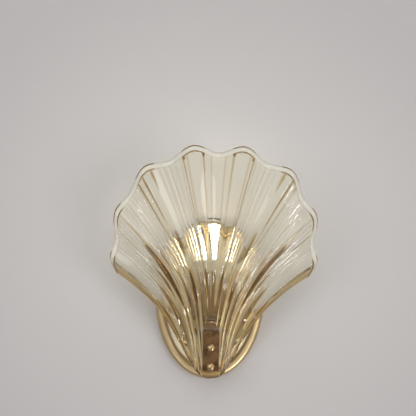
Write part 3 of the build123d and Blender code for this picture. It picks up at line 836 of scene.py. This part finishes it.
    def on_seat(self, u: Grid, v: Grid) -> Grid:
        """1 on the flat seat under the strap, 0 on the fluted glass."""
        past = np.clip(np.abs(self.rib_path(u, v)[0]) - self.seat_half_width, 0, None)
        above = ease((self.rib_travel(v) - self.seat_share) / self.seat_blend)
        return (1 - above) * (1 - ease(past / self.seat_side_blend))

    def clear_of_strap(self, u: Grid, v: Grid) -> Grid:
        """0 under the strap and its pad, 1 a little way off them, where the flutes are cut."""
        x, z = self.rib_path(u, v)
        above = ease((z - self.strap_top_z - self.flute_margin) / self.flute_margin)
        beside = ease((np.abs(x) - self.seat_half_width) / self.flute_margin)
        return np.maximum(above, beside)

    def in_neck(self, v: Grid) -> Grid:
        """1 in the narrow neck, 0 out in the fan."""
        return 1 - ramp(self.rib_travel(v), self.neck_ramp)

    def flutes(self, angle: Grid) -> tuple[Grid, Grid]:
        """Sharp valleys between the reeds, 0 to 1, and how far each zone of reeds is stepped back."""
        cusps, steps = np.zeros_like(angle), np.zeros_like(angle)
        for low, high, count in self.flute_zones:
            inside = (angle > low) & (angle < high)
            share = (angle - low) / (high - low)
            cusps = np.where(inside, 1 - np.abs(np.sin(pi * count * share)), cusps)
            steps = np.where(inside, 1 - share, steps)
        return cusps, steps

    def groove(self, u: Grid, v: Grid) -> Grid:
        """Depth of the flutes and creases, in millimetres, less where the ribs run together."""
        angle = np.abs(self.rim_edge_angle * u)
        cusps, steps = self.flutes(angle)
        creases = self.crease_depth * ridges(angle, self.crease_angles, self.crease_half_angle)
        thin = self.thin_crease_depth * ridges(angle, self.thin_crease_angles, self.thin_crease_half_angle)
        thin = thin * ramp(self.rib_travel(v), self.thin_crease_ramp)
        crowding = np.clip(self.half_width(v) / self.uncrowded_half_width, self.most_crowded, 1.0)
        crowding = crowding**self.crowding_power
        reeds = self.flute_depth * cusps + self.step_depth * steps
        fan = np.maximum(reeds, np.maximum(creases, thin)) * crowding
        neck = self.neck_rib_depth * ridges(angle, self.neck_rib_angles, self.neck_rib_half_angle)
        in_neck = self.in_neck(v)
        depth = (fan * (1 - in_neck) + neck * in_neck) * self.clear_of_strap(u, v)
        return depth + self.lip_depth * self.lip_line(u, v)

    def from_rim(self, u: Grid, v: Grid) -> Grid:
        """Distance back from the rim, in millimetres."""
        return (self.trimmed(u, np.ones_like(v)) - v) * self.end_pull * self.rib_length(u)

    def lip_line(self, u: Grid, v: Grid) -> Grid:
        """1 in the groove that runs round inside the rim, fading to 0 beside it."""
        return ridges(self.from_rim(u, v), (self.lip_from_rim,), self.lip_half_width)

    def tone(self, u: Grid, v: Grid, share: Grid) -> Grid:
        """Painted shade on the glass, 0 to 1, for the shade and dark images that real glass shows by
        refraction.

        Args:
            u: Share of the fan's half width.
            v: Parameter up the ribs, before the rim is cut to its lobes.
            share: Share of the thickness behind the front face.

        Returns:
            The painted shade.
        """
        v = self.trimmed(u, v)
        angle = self.rim_edge_angle * u
        travel = self.rib_travel(v)
        off_upright = np.abs(angle)
        in_neck, from_rim = self.in_neck(v), self.from_rim(u, v)
        # Painted shade: dark lines along the flutes, creases and neck ribs, dark streaks, and darker glass
        # over the neck, above the strap, at the side returns and in bands at the root.
        creases = ridges(off_upright, self.crease_angles + self.thin_crease_angles, self.crease_line)
        fan_lines = self.flute_line_painted_shade * np.maximum(self.flutes(off_upright)[0] ** 2, creases)
        neck_lines = self.neck_rib_painted_shade * ridges(off_upright, self.neck_rib_angles, self.neck_rib_line)
        lines = fan_lines * (1 - in_neck) + neck_lines * in_neck
        painted_streaks = np.max([streak.tone(angle, travel) for streak in self.painted_streaks], axis=0)
        inside_rim = ease(from_rim - self.lip_from_rim + 1)
        beside = ease((np.abs(self.rib_path(u, v)[0]) - self.seat_half_width) / self.seat_fade + 1)
        seat = (1 - beside) * (1 - ramp(travel, self.seat_ramp))
        from_root = v * self.start_pull * self.rib_length(u)
        tone = np.max([
            np.maximum(painted_streaks, lines) * self.clear_of_strap(u, v) * inside_rim,
            self.neck_painted_shade * in_neck,
            self.seat_painted_shade * seat,
            self.side_painted_shade * ramp(off_upright, self.side_ramp),
            *(strength * ridges(from_root, (z,), width) for z, width, strength in self.painted_root_bands),
        ], axis=0)
        at_rim = from_rim < self.rim_round
        tone = np.where((share > self.back_share) & ~at_rim, self.back_painted_shade * tone, tone)
        # Painted dark outline along the lobes' crests at the rim, and a painted dark line at the groove
        # inside the rim.
        wave, (first, last) = self.lobe_wave(angle), self.outline_shares
        inner_line = ramp(wave, self.inner_line_ramp) * self.lip_line(u, v) * (share < 0.5)
        outline = ease((share - first) / self.outline_blend) * ease((last - share) / self.outline_blend)
        outline = outline * ramp(wave, self.outline_ramp) * at_rim
        return np.maximum(tone, self.outline_painted_shade * np.maximum(inner_line, outline))

    def rim(self, u: Grid, v: Grid, share: Grid) -> Grid:
        """1 on the ground band round the rim, 0 on the clear glass."""
        band = ease((self.lip_from_rim - self.from_rim(u, self.trimmed(u, v))) / 0.6)
        return band * np.where(share > self.ground_share, 0.0, 1.0)

    def glass(self, u: Grid, v: Grid, share: Grid) -> Grid:
        """Points of the glass.

        Args:
            u: Share of the fan's half width.
            v: Parameter up the ribs, before the rim is cut to its lobes.
            share: Share of the thickness behind the front face.

        Returns:
            Points with X, Y and Z last.
        """
        v = self.trimmed(u, v)
        step = 0.001
        over = self.dish(np.minimum(1, u + step), v) - self.dish(np.maximum(-1, u - step), v)
        up = self.dish(u, np.minimum(1, v + step)) - self.dish(u, np.maximum(0, v - step))
        normal = np.cross(over, up)
        normal /= np.linalg.norm(normal, axis=-1, keepdims=True)
        inwards = share * self.thickness + self.groove(u, v) * (1 - share) ** 2
        points = self.dish(u, v) - normal * inwards[..., None]
        travel = self.rib_travel(v)
        lobes = self.lobe_wave(self.rim_edge_angle * u) * (1 - self.on_seat(u, v))
        swell = part_way(travel**self.lobe_power, self.lobe_depths) * lobes
        lobes_on_back = ramp(travel, self.back_lobes)
        points[..., 1] -= swell * (1 - share * (1 - lobes_on_back))
        return points

    def stations(self) -> Grid:
        """Values of u, closer together at the creases."""
        edge = self.rim_edge_angle
        margin = self.crease_margin
        angles = set(np.round(np.linspace(0, edge, self.columns), 3))
        for middle in self.crease_angles + self.thin_crease_angles:
            beside = np.linspace(middle - margin, middle + margin, self.crease_columns)
            angles |= {round(angle, 3) for angle in beside if 0 < angle < edge}
        half = sorted(angles)
        kept = [half[0]]
        for angle in half[1:]:
            if angle - kept[-1] > self.least_column or angle == half[-1]:
                kept.append(angle)
        return np.array([-a for a in reversed(kept[1:])] + kept) / edge

    def mesh(self) -> Piece:
        """Builds the closed shell: a front and a back grid, joined by a rounded edge all round.

        Returns:
            The glass as an object, in metres.
        """
        u = self.stations()
        v = np.concatenate([np.linspace(0, self.rows_end, self.rows), self.rim_rows_at])
        one, inset_step = np.ones_like(v), 0.01
        side_pace = np.linalg.norm(self.dish(one, v) - self.dish(one - inset_step, v), axis=-1) / inset_step
        side_inset = self.edge_round / side_pace
        rim_inset = self.rim_round / (self.end_pull * self.rib_length(u))
        root_inset = self.edge_round / (self.start_pull * self.rib_length(u))

        def placed(row: Grid, column: Grid, share: float) -> Grid:
            """Places drawn in from the true edge, then out again round the edge's half circle."""
            drawn_in = 1 - np.sin(pi * share)
            low, high = root_inset[column] * drawn_in, rim_inset[column] * drawn_in
            placed_u = u[column] * (1 - side_inset[row] * drawn_in)
            placed_v = low + v[row] * (1 - low - high)
            return np.stack([placed_u, placed_v, np.full(len(row), 0.5 - 0.5 * np.cos(pi * share))])

        rows, columns = len(v), len(u)
        size = rows * columns
        index = np.arange(size).reshape(rows, columns)
        row, column = np.divmod(index.ravel(), columns)
        quads = np.stack([index[:-1, :-1], index[:-1, 1:], index[1:, 1:], index[1:, :-1]], axis=-1)
        quads = quads.reshape(-1, 4)
        loop = np.concatenate([index[0, :-1], index[:-1, -1], index[-1, :0:-1], index[:0:-1, 0]])
        places, rings = [placed(row, column, 0.0), placed(row, column, 1.0)], [loop]
        for k in range(1, self.edge_rows):
            rings.append(2 * size + (k - 1) * len(loop) + np.arange(len(loop)))
            places.append(placed(*np.divmod(loop, columns), k / self.edge_rows))
        rings.append(loop + size)
        faces = [quads, quads[:, ::-1] + size]
        for near, far in zip(rings, rings[1:]):
            faces.append(np.stack([near, far, np.roll(far, -1), np.roll(near, -1)], axis=-1))
        where = np.concatenate(places, axis=1)
        mesh = bpy.data.meshes.new("glass_shell_fluted")
        mesh.from_pydata((self.glass(*where) * MM).tolist(), [], np.concatenate(faces).tolist())
        # Each point carries its painted shade and its share of the ground rim.
        for name, values in (("tone", self.tone(*where)), ("rim", self.rim(*where))):
            mesh.attributes.new(name, "FLOAT", "POINT").data.foreach_set("value", values.astype(np.float32))
        piece = bpy.data.objects.new("glass_shell_fluted", mesh)
        bpy.context.scene.collection.objects.link(piece)
        take_up(piece)
        bpy.ops.object.mode_set(mode="EDIT")
        bpy.ops.mesh.select_all(action="SELECT")
        bpy.ops.mesh.remove_doubles(threshold=1e-7)
        bpy.ops.mesh.normals_make_consistent(inside=False)
        bpy.ops.object.mode_set(mode="OBJECT")
        return piece

    def build(self) -> Piece:
        """Makes the shell with its two screw holes, finished and riding on the fixture."""
        piece = self.mesh()
        middle = self.neck_depth - self.thickness / 2
        radius, length = self.hole_radius * MM, 3 * self.thickness * MM
        drill(piece, [rod(radius, length, middle * MM, z * MM, self.hole_corners) for z in self.hole_heights])
        settle(piece, "glass_shell_fluted", ShellGlass("Champagne_glass"), smooth=50.0)
        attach(piece, "fixture")
        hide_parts("glass_shell")
        return piece


# ---- clamp screws
@dataclass
class ClampScrews:
    """Two slotted screws with polished domes that draw the strap against the glass; sizes in metres."""

    head_radius: float = 0.0047
    shank_radius: float = 0.0025
    slot_width: float = 0.0017
    slot_depth: float = 0.0016
    edge: float = 0.00016
    bevel_angle: float = 45.0
    head_segments: int = 56
    head_rings: int = 40
    shank_corners: int = 40
    heights: Span = (-0.069, -0.0485)
    leans: Span = (22.0, 20.0)

    def screw(self, z: float, lean: float) -> Piece:
        """Models one screw.

        Args:
            z: Height of its middle.
            lean: Angle of its slot from upright, in degrees.

        Returns:
            The screw.
        """
        front, back = (abs(corner[1]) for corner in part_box("clamp_screws"))
        seat = abs(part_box("clamp_strap")[0][1])
        head_height = front - seat
        ball = (self.head_radius**2 + head_height**2) / (2 * head_height)
        nothing_selected()
        bpy.ops.mesh.primitive_uv_sphere_add(
            segments=self.head_segments, ring_count=self.head_rings, radius=ball,
            location=(0, ball - front, z), rotation=(pi / 2, 0, 0),
        )
        head = bpy.context.object
        bpy.ops.object.mode_set(mode="EDIT")
        bpy.ops.mesh.select_all(action="SELECT")
        bpy.ops.mesh.bisect(plane_co=(0, -seat, z), plane_no=(0, -1, 0), use_fill=True, clear_inner=True)
        bpy.ops.object.mode_set(mode="OBJECT")
        length, middle = seat - back + self.edge, (seat + back + self.edge) / 2
        shank = rod(self.shank_radius, length, middle, z, self.shank_corners)
        finish_with(head, "BOOLEAN", operation="UNION", solver="EXACT", object=shank)
        bpy.data.objects.remove(shank)
        nothing_selected()
        bpy.ops.mesh.primitive_cube_add(
            size=1, location=(0, -front, z), rotation=(0, radians(lean), 0),
            scale=(self.slot_width, 2 * self.slot_depth, 3 * self.head_radius),
        )
        drill(head, [bpy.context.object])
        least = radians(self.bevel_angle)
        finish_with(head, "BEVEL", width=self.edge, segments=2, limit_method="ANGLE", angle_limit=least)
        return head

    def build(self) -> Piece:
        """Makes both screws as one piece, finished and riding on the fixture."""
        screws = [self.screw(z, lean) for z, lean in zip(self.heights, self.leans)]
        take_up(screws[0])
        screws[1].select_set(True)
        bpy.ops.object.join()
        colour, tarnish = (0.44, 0.30, 0.16), (0.16, 0.09, 0.045)
        finish = Metal("Bronze_screws", colour, tarnish, 0.27, tarnish_share=0.5, patch_scale=260.0)
        piece = settle(screws[0], "clamp_screws_slotted", finish, smooth=35.0)
        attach(piece, "fixture")
        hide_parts("clamp_screws")
        return piece


# ---- CAD nodes that keep their shape
NODE_FINISHES: dict[Finish, tuple[str, ...]] = {
    # The plate's field inside the ring is painted paler, a painted sheen.
    RingedMetal(
        "Satin_brass_plate", (0.50, 0.38, 0.21), (0.44, 0.33, 0.18), 0.40, Grain.ACROSS, tarnish_share=0.3
    ): ("backplate",),
    Metal(
        "Turned_brass_cup", (0.38, 0.27, 0.135), (0.29, 0.20, 0.095), 0.34, Grain.TURNED, tarnish_share=0.3
    ): ("lamp_cup",),
    Metal("Brass_strip", (0.34, 0.21, 0.095), (0.20, 0.12, 0.055), 0.36, Grain.UPRIGHT): (
        "support_bracket",
    ),
    Metal(
        "Dark_bronze", (0.185, 0.100, 0.042), (0.045, 0.024, 0.011), 0.34, Grain.UPRIGHT,
        tarnish_share=0.85, patch_scale=105.0,
    ): ("clamp_strap",),
    Metal("Bright_brass", (0.68, 0.52, 0.26), (0.45, 0.31, 0.14), 0.24): (
        "bracket_screws", "cover_screws", "tube_nuts", "terminal_screws", "earth_screw",
    ),
    Metal("Spring_brass", (0.62, 0.48, 0.24), (0.40, 0.28, 0.13), 0.28): ("contact_springs", "earth_lugs"),
    Metal("Zinc_steel", (0.58, 0.58, 0.56), (0.36, 0.36, 0.35), 0.34): (
        "clamp_nuts", "bracket_nuts", "threaded_tube", "tube_washers", "holder_plate", "holder_screws",
        "terminal_block_screw",
    ),
    Metal("Galvanised_bar", (0.55, 0.56, 0.55), (0.37, 0.38, 0.38), 0.42, Grain.UPRIGHT): ("wall_bar",),
    Metal("Pin_steel", (0.66, 0.65, 0.63), (0.45, 0.44, 0.42), 0.25, Grain.UPRIGHT): ("lamp_pins",),
    Moulded("Pad_rubber", (0.035, 0.033, 0.030), (0.07, 0.066, 0.06), 0.72): (
        "front_pad", "rear_pad", "glass_sleeves", "cable_grommet",
    ),
    Moulded("Holder_ceramic", (0.74, 0.70, 0.62), (0.60, 0.55, 0.46), 0.35, coat=0.35): ("lampholder",),
    Moulded("Lamp_white", (0.78, 0.76, 0.70), (0.66, 0.63, 0.55), 0.40): ("lamp_base",),
    Moulded("Block_plastic", (0.70, 0.69, 0.65), (0.55, 0.54, 0.50), 0.45): ("terminal_block",),
    Moulded("Lead_brown", (0.11, 0.045, 0.022), (0.16, 0.075, 0.04), 0.42): ("live_lead",),
    Moulded("Lead_blue", (0.02, 0.09, 0.30), (0.04, 0.13, 0.36), 0.42): ("neutral_lead",),
    Moulded("Lead_green_yellow", (0.10, 0.34, 0.05), (0.55, 0.50, 0.04), 0.42): ("earth_lead",),
    ClearCover("Lamp_clear_cover"): ("lamp_envelope",),
    LampBoard("Lamp_board"): ("light_core",),
    LitChip("Lamp_chips_lit"): ("light_chips",),
}


def dress_nodes() -> None:
    """Puts each finish on every slot of its CAD nodes."""
    for finish, names in NODE_FINISHES.items():
        material = finish.material()
        for name in names:
            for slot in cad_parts[name].material_slots:
                slot.link = "DATA"
                slot.material = material
            log.info("%s dressed in %s", name, material.name)


# ---- studio
@dataclass(frozen=True)
class Light:
    """A light: a square window that faces the shell, or a small warm ball if it has no size."""

    name: str
    place: tuple[float, float, float]
    power: float
    size: float = 0.0
    colour: Colour = (1.0, 0.97, 0.88)
    hidden_from: tuple[str, ...] = ("camera", "glossy", "transmission")
    ball_radius: float = 0.015
    faces: tuple[float, float, float] = (0.0, -0.06, 0.06)

    def add(self) -> None:
        """Adds the light to the scene."""
        light = bpy.data.lights.new(self.name, "AREA" if self.size else "POINT")
        light.energy, light.color = self.power, self.colour
        if self.size:
            light.shape, light.size = "SQUARE", self.size
        else:
            light.shadow_soft_size = self.ball_radius
        lamp = bpy.data.objects.new(self.name, light)
        lamp.location = self.place
        lamp.rotation_euler = (Vector(self.faces) - lamp.location).to_track_quat("-Z", "Y").to_euler()
        for rays in self.hidden_from:
            setattr(lamp, f"visible_{rays}", False)
        bpy.context.scene.collection.objects.link(lamp)


NOT_THROUGH_GLASS = ("transmission",)
ONLY_AS_GLOSS = ("transmission", "diffuse")
LOW_WINDOW = (1.0, 0.99, 0.97)


@dataclass
class Studio:
    """Wall, floor, soft lights and camera."""

    camera_distance: float = 1.15
    camera_height: float = 0.1012
    camera_azimuth: float = -3.5
    camera_pan: float = 0.2
    camera_roll: float = 1.3
    focal_length: float = 89.0
    sensor_width: float = 36.0
    room_colour: Colour = (0.98, 0.98, 1.0)
    room_light: float = 0.27
    room_seen: float = 0.74
    lights: tuple[Light, ...] = (
        Light("window_right", (0.95, -1.5, 0.0), 7.2, 0.9, (1.0, 0.985, 0.97), NOT_THROUGH_GLASS),
        Light("fill_left", (-0.95, -1.5, 0.4), 6.1, 1.0, (0.98, 0.985, 1.0), NOT_THROUGH_GLASS),
        Light("over_camera", (0.0, -1.75, 0.95), 7.4, 1.1, (1.0, 1.0, 1.0), ()),
        Light("low_window_right", (0.62, -0.74, -0.76), 4.2, 0.20, LOW_WINDOW, ONLY_AS_GLOSS),
        Light("low_window_left", (-0.46, -0.95, -0.72), 1.0, 0.12, LOW_WINDOW, ONLY_AS_GLOSS),
        Light("low_window_centre", (-0.02, -0.88, -0.82), 0.5, 0.10, LOW_WINDOW, ONLY_AS_GLOSS),
        Light("lamp_glow", (0.0, -0.065, 0.118), 0.040),
        Light("lamp_glow_left", (-0.07, -0.055, 0.075), 0.015),
        Light("lamp_glow_right", (0.07, -0.055, 0.075), 0.016),
    )

    @staticmethod
    def plane(name: str, size: float, place: Sequence[float], turn: float, paint: WallPaint) -> Piece:
        """Adds a painted square plane, turned about X."""
        bpy.ops.mesh.primitive_plane_add(size=size, location=place, rotation=(turn, 0, 0))
        plane = bpy.context.object
        plane.name = name
        plane.data.materials.append(paint.material())
        return plane

    def build_stage(self) -> None:
        """Adds the wall behind the sconce and a pale floor far below it."""
        nothing_selected()
        # Wall and floor are painted paler in the middle and darker away from it, a painted pool of light.
        paint = WallPaint("Wall_paint", (0.675, 0.65, 0.637), (0.585, 0.56, 0.553), opening=(0.056, 0.083))
        wall = self.plane("studio_wall", 5.0, (0, 0.0006, 0.05), pi / 2, paint)
        paint = WallPaint("Floor_paint", (0.80, 0.79, 0.77), (0.76, 0.75, 0.73), paleness=0.55)
        floor = self.plane("studio_floor", 6.0, (0, 0, -0.9), 0.0, paint)

    def light_world(self) -> None:
        """Fills the room with even pale light; the eye, glass and metal see it paler than it lights."""
        recipe = Recipe(bpy.data.worlds.new("Studio_room"))
        path = recipe.node("LightPath").outputs
        rays = [Channel(recipe, path[f"Is {kind} Ray"]) for kind in ("Camera", "Glossy", "Transmission")]
        lit, seen = (
            recipe.node("Background", {"Color": self.room_colour, "Strength": strength})
            for strength in (self.room_light, self.room_seen)
        )
        bpy.context.scene.world = recipe.finish(recipe.mix(rays[0] + rays[1] + rays[2], lit, seen))

    def set_camera(self) -> None:
        """Stands the camera where the picture was taken from."""
        camera = bpy.data.cameras.new("camera")
        camera.lens = self.focal_length
        camera.sensor_width = self.sensor_width
        holder = bpy.data.objects.new("camera", camera)
        turn, away = radians(self.camera_azimuth), self.camera_distance
        holder.location = (away * sin(turn), -away * cos(turn), self.camera_height)
        look = Euler((pi / 2, 0, turn + radians(self.camera_pan)), "XYZ").to_quaternion()
        lean = Euler((0, 0, radians(self.camera_roll)), "XYZ").to_quaternion()
        holder.rotation_euler = (look @ lean).to_euler()
        bpy.context.scene.collection.objects.link(holder)
        bpy.context.scene.camera = holder

    def build(self) -> None:
        """Sets up the whole studio."""
        bpy.context.scene.view_settings.view_transform = "Standard"
        self.set_camera()
        self.build_stage()
        self.light_world()
        for light in self.lights:
            light.add()


def main() -> None:
    """Builds the scene in order and reports each piece."""
    logging.basicConfig(level=logging.INFO, format="%(name)s: %(message)s")
    Studio().build()
    for piece in (GlassShell().build(), ClampScrews().build()):
        log.info("%s: %d faces", piece.name, len(piece.data.polygons))
    dress_nodes()


if __name__ == "__main__":
    main()
